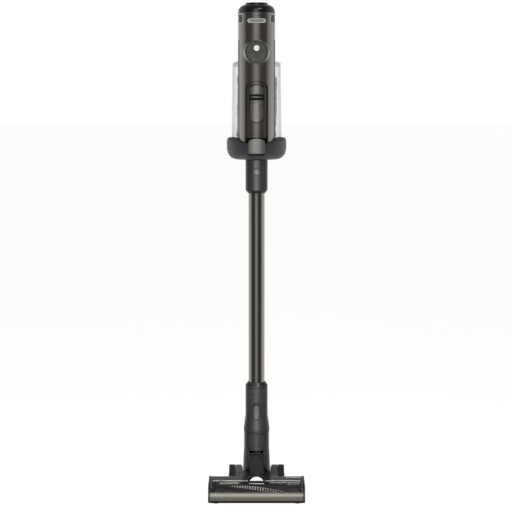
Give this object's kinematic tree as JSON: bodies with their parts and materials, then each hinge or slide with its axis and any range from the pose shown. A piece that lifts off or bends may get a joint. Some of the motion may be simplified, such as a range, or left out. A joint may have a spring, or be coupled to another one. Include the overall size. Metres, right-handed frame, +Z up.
{
  "type": "cordless stick vacuum",
  "caption": "Upright bagged cordless stick vacuum: powered floor head, swivel neck, metal wand and hand unit with battery, bag cover and loop handle.",
  "frame": {"origin": "on the floor, under the middle of the object's box", "axes": "+Z up along the wand, -Y to the front (window and control disc), +X to the right seen from the front"},
  "size_m": [0.228, 0.236, 1.163],
  "materials": {
    "graphite": "gloss metallic graphite lacquer on plastic",
    "matte_black": "matte moulded plastic",
    "gloss_black": "polished black plastic",
    "dark_grey": "fine-textured matte plastic",
    "smoke_clear": "smoky see-through plastic",
    "clear": "clear see-through plastic",
    "rubber": "matte soft rubber",
    "steel": "turned steel",
    "wand_metal": "titanium-grey anodised tube",
    "motor_alloy": "cast alloy case",
    "fleece": "soft non-woven fleece",
    "filter_media": "pleated filter paper",
    "white": "white lit button",
    "silver": "satin silver lacquer",
    "bristle": "nylon bristle rows in a woven sleeve",
    "board": "green circuit board",
    "cell": "shrink-wrapped cells"
  },
  "bodies": {
    "floor_head": {"head_chassis": "matte_black", "head_top_cover": "dark_grey", "brush_window": "smoke_clear", "front_bumper": "rubber", "end_cap_left": "gloss_black", "end_cap_right": "gloss_black", "brush_bearing_left": "steel", "brush_bearing_right": "steel", "brush_motor": "motor_alloy", "drive_belt": "rubber", "swivel_cradle": "dark_grey", "wheel_bracket_left": "dark_grey", "wheel_bracket_right": "dark_grey", "rear_axle_left": "steel", "rear_axle_right": "steel"},
    "brush_roll": {"brush_core": "dark_grey", "brush_bristles": "bristle"},
    "motor_pulley": {"motor_pulley": "steel"},
    "rear_wheel_left": {"rear_wheel_left": "rubber"},
    "rear_wheel_right": {"rear_wheel_right": "rubber"},
    "front_roller_left": {"front_roller_left": "rubber"},
    "front_roller_right": {"front_roller_right": "rubber"},
    "elbow": {"swivel_arch": "gloss_black"},
    "neck": {"neck_fork": "dark_grey", "neck_front_panel": "dark_grey", "neck_duct": "matte_black", "tilt_pin_left": "steel", "tilt_pin_right": "steel"},
    "head_release": {"head_release_button": "silver"},
    "wand": {"wand_tube": "wand_metal"},
    "hand_unit": {"inlet_neck": "dark_grey", "bin_collar": "matte_black", "inlet_duct": "matte_black", "bin_floor": "matte_black", "bag_plate": "dark_grey", "dust_bag": "fleece", "bin_hinge_pin": "steel", "front_shell": "graphite", "back_shell": "dark_grey", "motor_rear_shell": "graphite", "nameplate": "silver", "side_vent_left": "matte_black", "side_vent_right": "matte_black", "handle_frame": "dark_grey", "grip_insert": "rubber", "circuit_board": "board", "control_disc": "matte_black", "motor_can": "motor_alloy", "pre_motor_filter": "filter_media"},
    "wand_release": {"wand_release_button": "silver"},
    "collar_latch": {"collar_latch": "silver"},
    "power_button": {"power_button": "white"},
    "impeller": {"impeller": "matte_black"},
    "filter_cap": {"filter_cap": "gloss_black", "exhaust_filter": "filter_media"},
    "bin_cover": {"bin_cover": "clear"},
    "battery": {"battery_case": "graphite", "battery_cells": "cell"},
    "battery_release": {"battery_release_button": "silver"},
    "battery_lever": {"battery_pull_lever": "silver"}
  },
  "joints": [
    {"name": "brush_spin", "type": "hinge", "parent": "floor_head", "child": "brush_roll", "pos_m": [0, -0.081, 0.02], "axis": [1, 0, 0], "continuous": true},
    {"name": "motor_pulley_spin", "type": "hinge", "parent": "floor_head", "child": "motor_pulley", "pos_m": [-0.106, -0.045, 0.024], "axis": [1, 0, 0], "continuous": true},
    {"name": "rear_wheel_left_roll", "type": "hinge", "parent": "floor_head", "child": "rear_wheel_left", "pos_m": [-0.06, 0.041, 0.025], "axis": [1, 0, 0], "continuous": true},
    {"name": "rear_wheel_right_roll", "type": "hinge", "parent": "floor_head", "child": "rear_wheel_right", "pos_m": [0.06, 0.041, 0.025], "axis": [1, 0, 0], "continuous": true},
    {"name": "front_roller_left_roll", "type": "hinge", "parent": "floor_head", "child": "front_roller_left", "pos_m": [-0.096, -0.11, 0.004], "axis": [1, 0, 0], "continuous": true},
    {"name": "front_roller_right_roll", "type": "hinge", "parent": "floor_head", "child": "front_roller_right", "pos_m": [0.096, -0.11, 0.004], "axis": [1, 0, 0], "continuous": true},
    {"name": "head_steer", "type": "hinge", "parent": "floor_head", "child": "elbow", "pos_m": [0, -0.029, 0.029], "axis": [0, 1, 0], "range_deg": [-25, 25]},
    {"name": "neck_tilt", "type": "hinge", "parent": "elbow", "child": "neck", "pos_m": [0, -0.029, 0.08], "axis": [-1, 0, 0], "range_deg": [0, 80]},
    {"name": "head_release_press", "type": "slide", "parent": "neck", "child": "head_release", "axis": [0, 1, 0], "range_m": [0, 0.0025], "stiffness_N_per_m": 800, "springref_m": -0.00125},
    {"name": "wand_lift", "type": "slide", "parent": "neck", "child": "wand", "axis": [0, 0, 1], "range_m": [0, 0.06]},
    {"name": "hand_unit_lift", "type": "slide", "parent": "wand", "child": "hand_unit", "axis": [0, 0, 1], "range_m": [0, 0.06]},
    {"name": "wand_release_press", "type": "slide", "parent": "hand_unit", "child": "wand_release", "axis": [0, 1, 0], "range_m": [0, 0.0025], "stiffness_N_per_m": 800, "springref_m": -0.00125},
    {"name": "collar_latch_slide", "type": "slide", "parent": "hand_unit", "child": "collar_latch", "axis": [0, 0, -1], "range_m": [0, 0.0045], "stiffness_N_per_m": 600, "springref_m": -0.00225},
    {"name": "power_press", "type": "slide", "parent": "hand_unit", "child": "power_button", "axis": [0, 1, 0], "range_m": [0, 0.0015], "stiffness_N_per_m": 1000, "springref_m": -0.00075},
    {"name": "impeller_spin", "type": "hinge", "parent": "hand_unit", "child": "impeller", "pos_m": [0, -0.029, 1.056], "axis": [0, 0, 1], "continuous": true},
    {"name": "filter_cap_lift", "type": "slide", "parent": "hand_unit", "child": "filter_cap", "axis": [0, 0, 1], "range_m": [0, 0.045]},
    {"name": "bin_open", "type": "hinge", "parent": "hand_unit", "child": "bin_cover", "pos_m": [0, 0.055, 0.85], "axis": [-1, 0, 0], "range_deg": [0, 75]},
    {"name": "battery_slide", "type": "slide", "parent": "hand_unit", "child": "battery", "axis": [0, -1, 0], "range_m": [0, 0.06]},
    {"name": "battery_release_press", "type": "slide", "parent": "battery", "child": "battery_release", "axis": [0, 1, 0], "range_m": [0, 0.002], "stiffness_N_per_m": 800, "springref_m": -0.001},
    {"name": "battery_lever_pull", "type": "hinge", "parent": "battery", "child": "battery_lever", "pos_m": [0, -0.0676, 0.8892], "axis": [1, 0, 0], "range_deg": [0, 30], "stiffness_Nm_per_rad": 0.3, "springref_deg": -11.46}
  ],
  "couplings": [
    {"joint": "motor_pulley_spin", "follows": "brush_spin", "ratio": 1.8}
  ]
}
